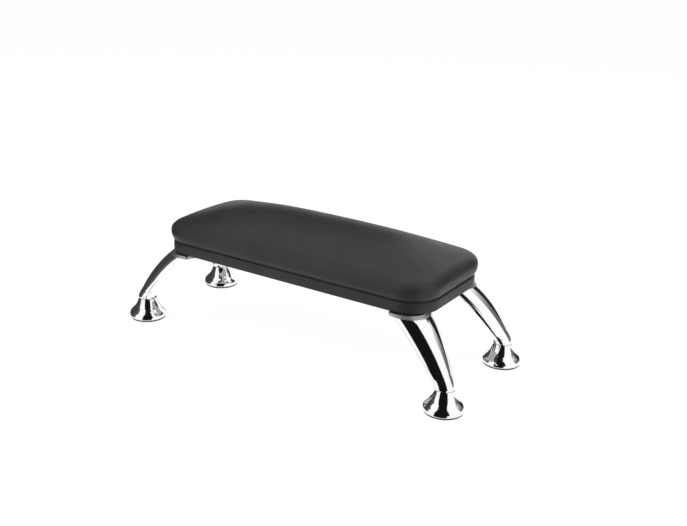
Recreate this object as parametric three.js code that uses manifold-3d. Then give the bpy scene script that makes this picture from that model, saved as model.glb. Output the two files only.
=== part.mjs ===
// Manicure hand rest: a padded board on four cast, curved legs with bell feet.
// Millimetres, +Z up. The origin is on the floor under the middle of the pad,
// X runs along the pad and the front long side faces -Y.
import * as THREE from 'three'
import { mergeVertices } from 'three/addons/utils/BufferGeometryUtils.js'
import Module from 'manifold-3d'

const wasm = await Module()
wasm.setup()

// Pad, seen from above: a rectangle with round corners at its widest line
const padLength = 340
const padWidth = 140.5
const padCorner = 34.8
const cornerFacets = 7
const longSideFacets = 6
const shortSideFacets = 2

// Pad, seen from the side
const padBottomZ = 87.8
const boardTopZ = 99.7
const seamZ = 100 // where the band meets the cushion
const widestZ = 110.4
const rollTopZ = 118.5 // the cushion's edge turns over into its top
const rollIn = 10.2 // how far the edge leans in over that height
const seamIn = 4.8 // the cushion is drawn in this far at its seam
const bandIn = 3.5 // the band stands in this far from the widest line
const crownHeight = 21.7
const crownAlongPower = 3.25 // full along the pad, dropping at the ends
const crownAcrossPower = 2
const leather = 0.9 // thickness of the leatherette
const bandFoot = 1.4 // the band's lower edge rounds under over this height
const bandLip = 0.8 // its top edge is bevelled in towards the seam
const turnUnder = 12 // width of leatherette folded under the board
const gap = 0.3 // between pieces that touch along a curved or turned face
const cutPast = 1 // a cut runs this far past the faces that it opens
const foamShare = [0.995, 0.989, 0.975] // of the cover's hollow that the foam fills: along, across, up
const coverSteps = { under: 3, roll: 4, topShares: [0.9, 0.77, 0.6, 0.4, 0.2] }
const hollowSteps = { under: 2, roll: 2, topShares: [0.75, 0.45, 0.2] }

// Legs: one casting, used four times
const footX = 194.2
const footY = 65.9
const legYaw = 18.1 // degrees from the pad's length to a leg's sweep
const legTopZ = 87.5
const ankleZ = 24.1
const ankleHandle = [-0.9, 25] // the middle line is a Bezier from the ankle: outwards, up
const shoulderHandle = [-41, 80.6]
const rootEnd = [-59.1, 86.1]
const noseLength = 8 // the root ends in a round nose inside its flange
const outerDepth = [6.3, 14.2, 11.1] // section outside the middle line: ankle, middle, root
const innerDepth = [6.3, 1.8, 10.1]
const halfWidth = [6.2, 16.5, 22.6]
const levelShare = 0.35 // share of the line over which the sections tip from level
const neckFlare = 3.4 // the ankle widens to meet the bell foot
const neckHeight = 9
const flangeRadius = 19.6
const flangeThick = 3.2
const flangeCentre = -55.5 // its stud stands there too
const legSides = 16
const legSteps = 15
const noseSteps = 3
const flangeSides = 28
const trimBlock = [200, 100, 40] // takes off what stands above the flange

// Bell feet
const bellBaseZ = 2.3
const bellOutline = [[21.2, 4.2], [20.4, 7], [17.4, 10.6], [14.3, 14], [12.1, 18], [11, 20.8], [10.1, 23.8]]
const bellRim = [[20.6, bellBaseZ], [21.1, 3]]
const bellSteps = 9
const glideRadius = 19.9
const glideTopZ = 4
const glideEdge = 0.4
const roundSides = 24

// Studs and tee nuts
const footStudRadius = 3
const footStudZ = [8, 28.5]
const legStudRadius = 4
const legStudZ = [80, 96]
const teeNutBarrel = 5.2
const teeNutFlange = 10
const teeNutDepth = 9
const teeNutFlangeThick = 1.4
const studSides = 12
const teeNutSides = 16

const corners = [
  ['front_left', -1, -1],
  ['rear_left', -1, 1],
  ['front_right', 1, -1],
  ['rear_right', 1, 1],
]

const leatherette = new THREE.MeshStandardMaterial({ color: 0x2b2b2c, roughness: 0.55 })
const foam = new THREE.MeshStandardMaterial({ color: 0xd9cfae, roughness: 1 })
const plywood = new THREE.MeshStandardMaterial({ color: 0xb08a5a, roughness: 0.8 })
const liningCloth = new THREE.MeshStandardMaterial({ color: 0xa2a2a1, roughness: 1 })
const chrome = new THREE.MeshStandardMaterial({ color: 0xd8d8da, roughness: 0.06, metalness: 1 })
const zincPlate = new THREE.MeshStandardMaterial({ color: 0xa9a9a4, roughness: 0.35, metalness: 1 })
const rubber = new THREE.MeshStandardMaterial({ color: 0x5c5c5b, roughness: 0.9 })

const part = new THREE.Group()

function addPiece(name, geometry, material, parent = part) {
  const mesh = new THREE.Mesh(geometry, material)
  mesh.name = name
  parent.add(mesh)
}

function geometryOf(positions, indices) {
  const geometry = new THREE.BufferGeometry()
  geometry.setAttribute('position', new THREE.Float32BufferAttribute(positions, 3))
  geometry.setIndex(indices)
  return geometry
}

// Booleans: a closed geometry becomes a solid, and a solid a geometry again
function solid(geometry) {
  const bare = geometry.clone()
  bare.deleteAttribute('normal')
  bare.deleteAttribute('uv')
  const merged = mergeVertices(bare, 1e-4)
  return new wasm.Manifold(new wasm.Mesh({
    numProp: 3,
    vertProperties: new Float32Array(merged.attributes.position.array),
    triVerts: new Uint32Array(merged.index.array),
  }))
}

function geometryFrom(manifold) {
  const mesh = manifold.getMesh()
  return geometryOf(Array.from(mesh.vertProperties), Array.from(mesh.triVerts))
}

// A piece turned about Z. Its outline [radius, height] runs anticlockwise, seen with the
// axis on the left: out along the bottom, up the side and back in over the top.
function turned(outline, sides = roundSides) {
  const points = outline.map(([radius, height]) => new THREE.Vector2(radius, height))
  return new THREE.LatheGeometry(points, sides).rotateX(Math.PI / 2)
}

function cylinder(radius, bottomZ, topZ, sides) {
  return turned([[0, bottomZ], [radius, bottomZ], [radius, topZ], [0, topZ]], sides)
}

// Points round the pad's plan, anticlockwise, drawn in from its widest line
function padOutline(inset) {
  const halfX = padLength / 2 - padCorner
  const halfY = padWidth / 2 - padCorner
  const radius = padCorner - inset
  const centres = [[halfX, halfY], [-halfX, halfY], [-halfX, -halfY], [halfX, -halfY]]
  const points = []
  centres.forEach(([cx, cy], corner) => {
    for (let i = 0; i <= cornerFacets; i++) {
      const angle = (corner + i / cornerFacets) * Math.PI / 2
      points.push([cx + radius * Math.cos(angle), cy + radius * Math.sin(angle)])
    }
    const [ax, ay] = points[points.length - 1]
    const [nextX, nextY] = centres[(corner + 1) % 4]
    const facets = corner % 2 ? shortSideFacets : longSideFacets
    for (let i = 1; i < facets; i++) {
      points.push([ax + (nextX - cx) * i / facets, ay + (nextY - cy) * i / facets])
    }
  })
  return points
}

const flatRing = (inset, z) => padOutline(inset).map(([x, y]) => [x, y, z])

// A closed skin over rings of equal count: between two middle points, which cap the first
// and last rings, or with the last ring joined to the first
function skin(rings, firstMiddle, lastMiddle) {
  const count = rings[0].length
  const positions = rings.flat(2)
  const indices = []
  const joins = firstMiddle ? rings.length - 1 : rings.length
  for (let r = 0; r < joins; r++) {
    const low = r * count
    const high = ((r + 1) % rings.length) * count
    for (let i = 0; i < count; i++) {
      const j = (i + 1) % count
      indices.push(low + i, low + j, high + j, low + i, high + j, high + i)
    }
  }
  if (firstMiddle) {
    const first = positions.length / 3
    const last = (rings.length - 1) * count
    positions.push(...firstMiddle, ...lastMiddle)
    for (let i = 0; i < count; i++) {
      const j = (i + 1) % count
      indices.push(first, j, i, first + 1, last + i, last + j)
    }
  }
  return geometryOf(positions, indices)
}

function slab(inset, bottomZ, topZ) {
  return skin([flatRing(inset, bottomZ), flatRing(inset, topZ)], [0, 0, bottomZ], [0, 0, topZ])
}

// Height of the crown over the cushion's plan
function crownAt(x, y) {
  const along = 1 - Math.abs(2 * x / padLength) ** crownAlongPower
  const across = 1 - Math.abs(2 * y / padWidth) ** crownAcrossPower
  return crownHeight * along * across
}

// Rings up the cushion, a set depth inside its surface: a quarter ellipse from the seam out
// to the widest line, another in to the top, then the plan shrinking under the crown
function cushionRings(depth, { under, roll, topShares }) {
  const rings = []
  for (let i = 0; i <= under; i++) {
    const angle = (i / under) * Math.PI / 2
    const inset = seamIn * (1 - Math.sin(angle)) + depth
    rings.push(flatRing(inset, widestZ - (widestZ - seamZ) * Math.cos(angle)))
  }
  for (let i = 1; i <= roll; i++) {
    const angle = (i / roll) * Math.PI / 2
    const inset = rollIn * (1 - Math.cos(angle)) + depth
    const z = widestZ + (rollTopZ - widestZ - depth) * Math.sin(angle)
    rings.push(padOutline(inset).map(([x, y]) => [x, y, z + crownAt(x, y)]))
  }
  const rim = padOutline(rollIn + depth)
  for (const share of topShares) {
    const shrunk = rim.map(([x, y]) => [x * share, y * share])
    rings.push(shrunk.map(([x, y]) => [x, y, rollTopZ - depth + crownAt(x, y)]))
  }
  return rings
}

function buildPad() {
  const topZ = rollTopZ + crownHeight
  const boardBottomZ = padBottomZ + leather

  // the cover is a shell, open at the seam
  const outside = cushionRings(0, coverSteps)
  const inside = cushionRings(leather, hollowSteps)
  addPiece('top_cover',
    skin([...inside.reverse(), ...outside], [0, 0, topZ - leather], [0, 0, topZ]), leatherette)

  // the foam fills that hollow, a little smaller all round
  const hollow = skin(cushionRings(leather, hollowSteps), [0, 0, seamZ], [0, 0, topZ - leather])
  addPiece('foam_core', hollow.translate(0, 0, -seamZ).scale(...foamShare).translate(0, 0, seamZ), foam)

  // the board, bored for four tee nuts from above
  let board = solid(slab(bandIn + leather + gap, boardBottomZ, boardTopZ))
  for (const [, sx, sy] of corners) {
    const [x, y] = rootCentre(sx, sy)
    const bore = cylinder(teeNutBarrel + gap, boardBottomZ - cutPast, boardTopZ + cutPast, roundSides)
    const sinkZ = boardTopZ - teeNutFlangeThick - gap
    const sink = cylinder(teeNutFlange + gap, sinkZ, boardTopZ + cutPast, roundSides)
    board = board.subtract(solid(bore).translate(x, y, 0)).subtract(solid(sink).translate(x, y, 0))
  }
  addPiece('base_board', geometryFrom(board), plywood)

  // the band runs up the board's edge and is folded under it
  addPiece('side_band', skin([
    flatRing(bandIn + turnUnder, padBottomZ),
    flatRing(bandIn + bandFoot, padBottomZ),
    flatRing(bandIn, padBottomZ + bandFoot),
    flatRing(bandIn, boardTopZ - bandLip),
    flatRing(bandIn + bandLip, boardTopZ),
    flatRing(bandIn + leather, boardTopZ),
    flatRing(bandIn + leather, boardBottomZ),
    flatRing(bandIn + turnUnder, boardBottomZ),
  ]), leatherette)

  // the lining closes the underside inside that fold
  let lining = solid(slab(bandIn + turnUnder + gap, padBottomZ, boardBottomZ))
  for (const [, sx, sy] of corners) {
    const [x, y] = rootCentre(sx, sy)
    const hole = cylinder(legStudRadius + gap, padBottomZ - cutPast, boardBottomZ + cutPast, studSides)
    lining = lining.subtract(solid(hole).translate(x, y, 0))
  }
  addPiece('bottom_lining', geometryFrom(lining), liningCloth)
}

// Direction of a leg's sweep from the pad outwards, and the middle of its flange
const sweepAngle = (sx, sy) => Math.atan2(
  sy * Math.sin(THREE.MathUtils.degToRad(legYaw)), sx * Math.cos(THREE.MathUtils.degToRad(legYaw)))

function rootCentre(sx, sy) {
  const angle = sweepAngle(sx, sy)
  return [sx * footX + flangeCentre * Math.cos(angle), sy * footY + flangeCentre * Math.sin(angle)]
}

// A value that runs smoothly through three, at the start, middle and end
const through = ([a, b, c], t) => a * (1 - t) * (1 - 2 * t) + 4 * b * t * (1 - t) + c * t * (2 * t - 1)

// The leg in its own frame: the ankle over the origin, sweeping back along -X and up.
// Each section is an oval, deeper outside the middle line than inside it. The lowest is
// level, and they tip until they stand square to the line.
function legGeometry() {
  const line = new THREE.CubicBezierCurve(
    new THREE.Vector2(0, ankleZ), new THREE.Vector2(...ankleHandle),
    new THREE.Vector2(...shoulderHandle), new THREE.Vector2(...rootEnd))

  const section = (middle, tilt, outer, inner, width) => {
    const ring = []
    for (let i = 0; i < legSides; i++) {
      const angle = (i / legSides) * 2 * Math.PI
      const out = Math.cos(angle) * (Math.cos(angle) > 0 ? outer : inner)
      ring.push([middle.x + Math.cos(tilt) * out, width * Math.sin(angle), middle.y + Math.sin(tilt) * out])
    }
    return ring
  }

  const rings = []
  for (let k = 0; k <= legSteps; k++) {
    const t = k / legSteps
    const middle = line.getPoint(t)
    const along = line.getTangent(t)
    const tilt = Math.atan2(-along.x, along.y) * THREE.MathUtils.smoothstep(t, 0, levelShare)
    const rise = Math.min((middle.y - ankleZ) / neckHeight, 1)
    const flare = neckFlare * (1 - rise) ** 1.5
    rings.push(section(middle, tilt,
      through(outerDepth, t) + flare, through(innerDepth, t) + flare, through(halfWidth, t) + flare))
  }
  const root = line.getPoint(1)
  const along = line.getTangent(1)
  const tilt = Math.atan2(-along.x, along.y)
  for (let k = 1; k <= noseSteps; k++) {
    const turn = (k / (noseSteps + 1)) * Math.PI / 2
    const middle = root.clone().addScaledVector(along, noseLength * Math.sin(turn))
    rings.push(section(middle, tilt,
      outerDepth[2] * Math.cos(turn), innerDepth[2] * Math.cos(turn), halfWidth[2] * Math.cos(turn)))
  }
  const tip = root.clone().addScaledVector(along, noseLength)
  const horn = solid(skin(rings, [0, 0, ankleZ], [tip.x, 0, tip.y]))
  const flange = solid(cylinder(flangeRadius, legTopZ - flangeThick, legTopZ, flangeSides)
    .translate(flangeCentre, 0, 0))
  const above = solid(new THREE.BoxGeometry(...trimBlock)
    .translate(flangeCentre, 0, legTopZ + trimBlock[2] / 2))
  const studHole = solid(cylinder(legStudRadius + gap, legStudZ[0] - gap, legTopZ + cutPast, studSides)
    .translate(flangeCentre, 0, 0))
  const footHole = solid(cylinder(footStudRadius + gap, ankleZ - cutPast, footStudZ[1] + gap, studSides))
  return geometryFrom(horn.add(flange).subtract(above).subtract(studHole).subtract(footHole))
}

// The bell foot: a flared skirt under a narrow neck, recessed below for its glide and bored
// from above for its stud
function bellGeometry() {
  const flank = new THREE.SplineCurve(bellOutline.map(([r, z]) => new THREE.Vector2(r, z)))
  const side = flank.getPoints(bellSteps).map((point) => [point.x, point.y])
  return turned([
    [0, glideTopZ + gap],
    [glideRadius + gap, glideTopZ + gap],
    [glideRadius + gap, bellBaseZ],
    ...bellRim,
    ...side,
    [footStudRadius + gap, ankleZ - gap],
    [footStudRadius + gap, footStudZ[0] - gap],
    [0, footStudZ[0] - gap],
  ])
}

function teeNutGeometry() {
  const bore = legStudRadius + gap
  const flangeZ = boardTopZ - teeNutFlangeThick
  return turned([
    [bore, boardTopZ - teeNutDepth],
    [teeNutBarrel, boardTopZ - teeNutDepth],
    [teeNutBarrel, flangeZ],
    [teeNutFlange, flangeZ],
    [teeNutFlange, boardTopZ],
    [bore, boardTopZ],
    [bore, boardTopZ - teeNutDepth],
  ], teeNutSides)
}

function buildLegs() {
  const leg = legGeometry()
  const bell = bellGeometry()
  const glide = turned([
    [0, 0],
    [glideRadius - glideEdge, 0],
    [glideRadius, glideEdge],
    [glideRadius, glideTopZ],
    [0, glideTopZ],
  ])
  const footStud = cylinder(footStudRadius, ...footStudZ, studSides)
  const legStud = cylinder(legStudRadius, ...legStudZ, studSides).translate(flangeCentre, 0, 0)
  const teeNut = teeNutGeometry().translate(flangeCentre, 0, 0)
  for (const [corner, sx, sy] of corners) {
    const stand = new THREE.Group()
    stand.position.set(sx * footX, sy * footY, 0)
    stand.rotation.z = sweepAngle(sx, sy)
    part.add(stand)
    addPiece(`leg_${corner}`, leg, chrome, stand)
    addPiece(`bell_foot_${corner}`, bell, chrome, stand)
    addPiece(`foot_glide_${corner}`, glide, rubber, stand)
    addPiece(`foot_stud_${corner}`, footStud, zincPlate, stand)
    addPiece(`leg_stud_${corner}`, legStud, zincPlate, stand)
    addPiece(`tee_nut_${corner}`, teeNut, zincPlate, stand)
  }
}

buildPad()
buildLegs()

export default part
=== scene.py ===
# Manicure hand rest: a padded board on four chrome horn legs with bell feet
import math
import bpy
import numpy as np
from mathutils import Matrix, Vector


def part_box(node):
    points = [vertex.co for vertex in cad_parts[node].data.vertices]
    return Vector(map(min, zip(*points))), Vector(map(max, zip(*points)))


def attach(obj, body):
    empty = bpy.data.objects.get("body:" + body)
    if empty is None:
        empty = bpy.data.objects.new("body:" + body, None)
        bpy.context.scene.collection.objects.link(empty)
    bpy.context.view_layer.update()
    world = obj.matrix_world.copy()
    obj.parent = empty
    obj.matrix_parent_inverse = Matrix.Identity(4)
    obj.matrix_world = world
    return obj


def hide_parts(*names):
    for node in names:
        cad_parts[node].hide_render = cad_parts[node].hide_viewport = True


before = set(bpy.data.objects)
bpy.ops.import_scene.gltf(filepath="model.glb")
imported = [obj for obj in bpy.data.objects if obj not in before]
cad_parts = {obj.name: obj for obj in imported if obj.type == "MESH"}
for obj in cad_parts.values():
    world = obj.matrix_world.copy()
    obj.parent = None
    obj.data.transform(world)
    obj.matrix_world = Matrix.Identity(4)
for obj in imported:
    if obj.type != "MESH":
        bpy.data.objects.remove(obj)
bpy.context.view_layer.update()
scene = bpy.context.scene
mm = 0.001
print("frame loaded:", len(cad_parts), "nodes")


# Places and sizes, in millimetres, taken from the frame
def boxOf(node):
    low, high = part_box(node)
    return np.array(low) / mm, np.array(high) / mm


coverLow, coverHigh = boxOf("top_cover")
bandLow, bandHigh = boxOf("side_band")
padLength, padWidth = (coverHigh - coverLow)[:2]
padBottomZ, boardTopZ = bandLow[2], bandHigh[2]
seamZ, crownTopZ = coverLow[2], coverHigh[2]
leather = 0.9
clearance = 0.3  # round a stud or a glide in its bore
sharpAngle = math.radians(32)  # edges that bend more than this stay sharp

cornerSigns = {"front_left": (-1, -1), "rear_left": (-1, 1), "front_right": (1, -1), "rear_right": (1, 1)}
footPlace = {}
for corner in cornerSigns:
    low, high = boxOf("bell_foot_" + corner)
    footPlace[corner] = (low + high)[:2] / 2


# Mesh helpers
def meshPiece(name, points, faces, smooth=True):
    mesh = bpy.data.meshes.new(name)
    faces = faces.tolist() if isinstance(faces, np.ndarray) else faces
    mesh.from_pydata(np.asarray(points, dtype=float) * mm, [], faces)
    mesh.validate()
    if smooth:
        mesh.shade_smooth()
    piece = bpy.data.objects.new(name, mesh)
    scene.collection.objects.link(piece)
    return piece


def quadsBetween(lower, upper):
    # Quads between two closed rings of vertex numbers, facing out of an anticlockwise ring
    nextLower, nextUpper = np.roll(lower, -1), np.roll(upper, -1)
    return np.stack([lower, nextLower, nextUpper, upper], axis=1)


def gridQuads(index):  # a grid of vertex numbers, wound so that it faces up when rows run along +Y
    return np.stack([index[:-1, :-1], index[:-1, 1:], index[1:, 1:], index[1:, :-1]], axis=-1).reshape(-1, 4)


def finishPiece(piece, material, replaces=()):
    piece.data.materials.clear()
    piece.data.materials.append(material)
    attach(piece, "root")
    if replaces:
        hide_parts(*replaces)
    return piece


def applied(piece):  # bakes the piece's modifiers into its mesh
    depsgraph = bpy.context.evaluated_depsgraph_get()
    mesh = bpy.data.meshes.new_from_object(piece.evaluated_get(depsgraph))
    piece.modifiers.clear()
    piece.data = mesh
    return piece


def cut(piece, other, operation="DIFFERENCE"):
    # Exact boolean with another closed piece, which is then removed
    boolean = piece.modifiers.new("cut", "BOOLEAN")
    boolean.operation = operation
    boolean.solver = "EXACT"
    boolean.object = other
    bpy.context.view_layer.update()
    applied(piece)
    bpy.data.objects.remove(other)
    return piece


def splineThrough(knots, count):
    # Natural cubic spline through the knots, by chord length: the second derivatives solve one linear system
    knots = np.asarray(knots, dtype=float)
    t = np.concatenate([[0], np.cumsum(np.linalg.norm(np.diff(knots, axis=0), axis=1))])
    h = np.diff(t)
    system = np.eye(len(t))
    right = np.zeros_like(knots)
    for i in range(1, len(t) - 1):
        system[i, i - 1:i + 2] = h[i - 1], 2 * (h[i - 1] + h[i]), h[i]
        right[i] = 6 * ((knots[i + 1] - knots[i]) / h[i] - (knots[i] - knots[i - 1]) / h[i - 1])
    bend = np.linalg.solve(system, right)
    at = np.linspace(0, t[-1], count)
    i = np.clip(np.searchsorted(t, at, side="right") - 1, 0, len(h) - 1)
    a, b, width = (t[i + 1] - at)[:, None], (at - t[i])[:, None], h[i][:, None]
    return (bend[i] * a ** 3 + bend[i + 1] * b ** 3) / (6 * width) \
        + (knots[i] / width - bend[i] * width / 6) * a + (knots[i + 1] / width - bend[i + 1] * width / 6) * b


def arcPoints(centre, radius, fromDegrees, toDegrees, count=6):
    angle = np.radians(np.linspace(fromDegrees, toDegrees, count))
    return np.stack([centre[0] + radius * np.cos(angle), centre[1] + radius * np.sin(angle)], axis=1)


def lathe(profile, sides):
    # A profile of [radius, height] turned about Z. Points on the axis become one pole vertex each.
    profile = np.asarray(profile, dtype=float)
    onAxis = profile[:, 0] < 1e-6
    body = profile[~onAxis]
    angle = np.linspace(0, 2 * math.pi, sides, endpoint=False)
    rings = np.stack([body[:, :1] * np.cos(angle), body[:, :1] * np.sin(angle),
                      np.repeat(body[:, 1:], sides, axis=1)], axis=-1)
    points = rings.reshape(-1, 3)
    index = np.arange(len(points)).reshape(len(body), sides)
    faces = [quadsBetween(index[k], index[k + 1]) for k in range(len(body) - 1)]
    faces = [face for block in faces for face in block.tolist()]
    if not onAxis.any():
        faces += quadsBetween(index[-1], index[0]).tolist()
        return points, faces
    ends = ((onAxis[0], profile[0], index[0], 1), (onAxis[-1], profile[-1], index[-1], -1))
    for present, point, ring, turn in ends:
        if present:
            points = np.vstack([points, [0, 0, point[1]]])
            pole = len(points) - 1
            pairs = zip(np.roll(ring, -turn).tolist(), ring.tolist())
            faces += [[pole, a, b] for a, b in pairs]
    return points, faces


def placed(points, corner):  # from a leg's own frame to its corner of the pad
    sx, sy = cornerSigns[corner]
    turn = math.atan2(sy * math.sin(legs["yaw"]), sx * math.cos(legs["yaw"]))
    c, s = math.cos(turn), math.sin(turn)
    x, y = footPlace[corner]
    points = np.asarray(points)
    return np.stack([x + c * points[:, 0] - s * points[:, 1], y + s * points[:, 0] + c * points[:, 1],
                     points[:, 2]], axis=1)


# Shader helpers
def newMaterial(name):
    material = bpy.data.materials.new(name)
    material.use_nodes = True
    nodes = material.node_tree.nodes
    return material, nodes, material.node_tree.links, nodes["Principled BSDF"]


def newGroup(name, inputs, outputs):
    tree = bpy.data.node_groups.new(name, "ShaderNodeTree")
    for label, kind, value in inputs:
        socket = tree.interface.new_socket(label, in_out="INPUT", socket_type=kind)
        if value is not None:
            socket.default_value = value
    for label, kind in outputs:
        tree.interface.new_socket(label, in_out="OUTPUT", socket_type=kind)
    return tree, tree.nodes.new("NodeGroupInput"), tree.nodes.new("NodeGroupOutput")


def addNode(nodes, kind, **values):
    made = nodes.new(kind)
    for key, value in values.items():
        if key.startswith("in_"):
            label = key[3:].replace("_", " ")
            made.inputs[int(label) if label.isdigit() else label].default_value = value
        else:
            setattr(made, key, value)
    return made


def mathNode(nodes, links, operation, a, b=None, clamp=False):
    made = nodes.new("ShaderNodeMath")
    made.operation = operation
    made.use_clamp = clamp
    for slot, value in enumerate((a, b)):
        if value is None:
            continue
        if isinstance(value, (int, float)):
            made.inputs[slot].default_value = value
        else:
            links.new(value, made.inputs[slot])
    return made.outputs[0]


def mixColour(nodes, links, factor, a, b):
    made = nodes.new("ShaderNodeMix")
    made.data_type = "RGBA"
    for slot, value in ((0, factor), (6, a), (7, b)):
        if isinstance(value, (int, float, tuple)):
            made.inputs[slot].default_value = value
        else:
            links.new(value, made.inputs[slot])
    return made.outputs[2]


def remap(nodes, links, value, fromLow, fromHigh, toLow, toHigh):
    made = nodes.new("ShaderNodeMapRange")
    links.new(value, made.inputs["Value"])
    labels = ("From Min", "From Max", "To Min", "To Max")
    for label, number in zip(labels, (fromLow, fromHigh, toLow, toHigh)):
        made.inputs[label].default_value = number
    return made.outputs["Result"]


def makeGrainGroup():
    # Pebbled grain: cell edges of a fine Voronoi pattern bent by noise, with a coarser tone drift
    tree, groupIn, groupOut = newGroup(
        "pebbleGrain",
        [("Cells", "NodeSocketFloat", 1400.0), ("Drift", "NodeSocketFloat", 18.0)],
        [("Height", "NodeSocketFloat"), ("Tone", "NodeSocketFloat")])
    nodes, links = tree.nodes, tree.links
    place = nodes.new("ShaderNodeTexCoord").outputs["Object"]
    bend = addNode(nodes, "ShaderNodeTexNoise", in_Scale=600.0, in_Detail=2.0)
    links.new(place, bend.inputs["Vector"])
    shift = addNode(nodes, "ShaderNodeVectorMath", operation="SCALE", in_Scale=0.0006)
    links.new(bend.outputs["Color"], shift.inputs[0])
    bent = addNode(nodes, "ShaderNodeVectorMath", operation="ADD")
    links.new(place, bent.inputs[0])
    links.new(shift.outputs[0], bent.inputs[1])
    cells = addNode(nodes, "ShaderNodeTexVoronoi", feature="DISTANCE_TO_EDGE")
    links.new(bent.outputs[0], cells.inputs["Vector"])
    links.new(groupIn.outputs["Cells"], cells.inputs["Scale"])
    pebble = remap(nodes, links, cells.outputs["Distance"], 0.0, 0.35, 0.0, 1.0)
    drift = addNode(nodes, "ShaderNodeTexNoise", in_Detail=4.0, in_Roughness=0.6)
    links.new(place, drift.inputs["Vector"])
    links.new(groupIn.outputs["Drift"], drift.inputs["Scale"])
    links.new(pebble, groupOut.inputs["Height"])
    links.new(drift.outputs["Fac"], groupOut.inputs["Tone"])
    return tree


def makeMarksGroup():
    # Handling marks: faint smears and fine specks, as a mask from 0 to 1
    tree, groupIn, groupOut = newGroup(
        "handlingMarks",
        [("Smears", "NodeSocketFloat", 30.0), ("Specks", "NodeSocketFloat", 900.0)],
        [("Mask", "NodeSocketFloat")])
    nodes, links = tree.nodes, tree.links
    place = nodes.new("ShaderNodeTexCoord").outputs["Object"]
    smear = addNode(nodes, "ShaderNodeTexNoise", in_Detail=5.0, in_Roughness=0.65, in_Distortion=0.8)
    speck = addNode(nodes, "ShaderNodeTexNoise", in_Detail=1.0)
    for texture, label in ((smear, "Smears"), (speck, "Specks")):
        links.new(place, texture.inputs["Vector"])
        links.new(groupIn.outputs[label], texture.inputs["Scale"])
    soft = remap(nodes, links, smear.outputs["Fac"], 0.4, 0.7, 0.0, 0.8)
    fine = remap(nodes, links, speck.outputs["Fac"], 0.62, 0.7, 0.0, 0.35)
    links.new(mathNode(nodes, links, "ADD", soft, fine, clamp=True), groupOut.inputs["Mask"])
    return tree


grainGroup = makeGrainGroup()
marksGroup = makeMarksGroup()


def useGroup(nodes, tree, **values):
    made = nodes.new("ShaderNodeGroup")
    made.node_tree = tree
    for label, value in values.items():
        made.inputs[label].default_value = value
    return made


def bumpFrom(nodes, links, height, strength, distance, principled):
    bump = addNode(nodes, "ShaderNodeBump", in_Strength=strength, in_Distance=distance)
    links.new(height, bump.inputs["Height"])
    links.new(bump.outputs["Normal"], principled.inputs["Normal"])


leatherLook = {"dark": (0.018, 0.018, 0.0185, 1), "light": (0.025, 0.025, 0.0255, 1), "specular": 0.3,
               "roughness": (0.40, 0.50), "cells": 1500.0, "grainDepth": 0.00003, "grainStrength": 0.35}


def makeLeatherette():
    material, nodes, links, principled = newMaterial("leatherette")
    grain = useGroup(nodes, grainGroup, Cells=leatherLook["cells"], Drift=22.0)
    marks = useGroup(nodes, marksGroup, Smears=26.0, Specks=1100.0)
    tone = remap(nodes, links, grain.outputs["Tone"], 0.3, 0.7, 0.0, 1.0)
    colour = mixColour(nodes, links, tone, leatherLook["dark"], leatherLook["light"])
    links.new(colour, principled.inputs["Base Color"])
    principled.inputs["Specular IOR Level"].default_value = leatherLook["specular"]
    low, high = leatherLook["roughness"]
    links.new(remap(nodes, links, marks.outputs["Mask"], 0.0, 1.0, low, high), principled.inputs["Roughness"])
    bumpFrom(nodes, links, grain.outputs["Height"], leatherLook["grainStrength"], leatherLook["grainDepth"],
             principled)
    return material


# The mid-grey, the two heights and the extra roughness paint shade on the flange under the pad: from 84.1 to
# 84.6 mm up, the chrome fades to mid-grey and turns rougher.
chromeLook = {"clean": (0.99, 0.99, 0.99, 1), "film": (0.93, 0.93, 0.935, 1), "cast": (0.5, 0.5, 0.5, 1),
              "roughness": (0.03, 0.075), "waveScale": 28.0, "waveDepth": 0.00006,
              "castFrom": 0.0841, "castTo": 0.0846, "castRoughness": 0.42}


def makeChrome():
    material, nodes, links, principled = newMaterial("chrome")
    principled.inputs["Metallic"].default_value = 1.0
    marks = useGroup(nodes, marksGroup, Smears=38.0, Specks=1500.0)
    colour = mixColour(nodes, links, marks.outputs["Mask"], chromeLook["clean"], chromeLook["film"])
    low, high = chromeLook["roughness"]
    polished = remap(nodes, links, marks.outputs["Mask"], 0.0, 1.0, low, high)
    place = nodes.new("ShaderNodeTexCoord").outputs["Object"]
    height = nodes.new("ShaderNodeSeparateXYZ")
    links.new(place, height.inputs[0])
    # Painted shade: the flange under the pad fades to mid-grey from 84.1 to 84.6 mm up, and turns rougher
    cast = remap(nodes, links, height.outputs["Z"], chromeLook["castFrom"], chromeLook["castTo"], 0, 1)
    links.new(mixColour(nodes, links, cast, colour, chromeLook["cast"]), principled.inputs["Base Color"])
    rough = mathNode(nodes, links, "MULTIPLY", cast, chromeLook["castRoughness"])
    links.new(mathNode(nodes, links, "ADD", polished, rough), principled.inputs["Roughness"])
    wave = addNode(nodes, "ShaderNodeTexNoise", in_Scale=chromeLook["waveScale"], in_Detail=1.0)
    links.new(place, wave.inputs["Vector"])
    bumpFrom(nodes, links, wave.outputs["Fac"], 1.0, chromeLook["waveDepth"], principled)
    return material


zincLook = {"bright": (0.62, 0.62, 0.60, 1), "dull": (0.42, 0.41, 0.38, 1), "roughness": (0.28, 0.5)}


def makeZinc():
    material, nodes, links, principled = newMaterial("zinc_plate")
    principled.inputs["Metallic"].default_value = 1.0
    marks = useGroup(nodes, marksGroup, Smears=90.0, Specks=2500.0)
    colour = mixColour(nodes, links, marks.outputs["Mask"], zincLook["bright"], zincLook["dull"])
    links.new(colour, principled.inputs["Base Color"])
    dull = remap(nodes, links, marks.outputs["Mask"], 0, 1, *zincLook["roughness"])
    links.new(dull, principled.inputs["Roughness"])
    return material


rubberLook = {"dark": (0.085, 0.085, 0.084, 1), "worn": (0.14, 0.14, 0.138, 1), "roughness": (0.75, 0.9)}


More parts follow.
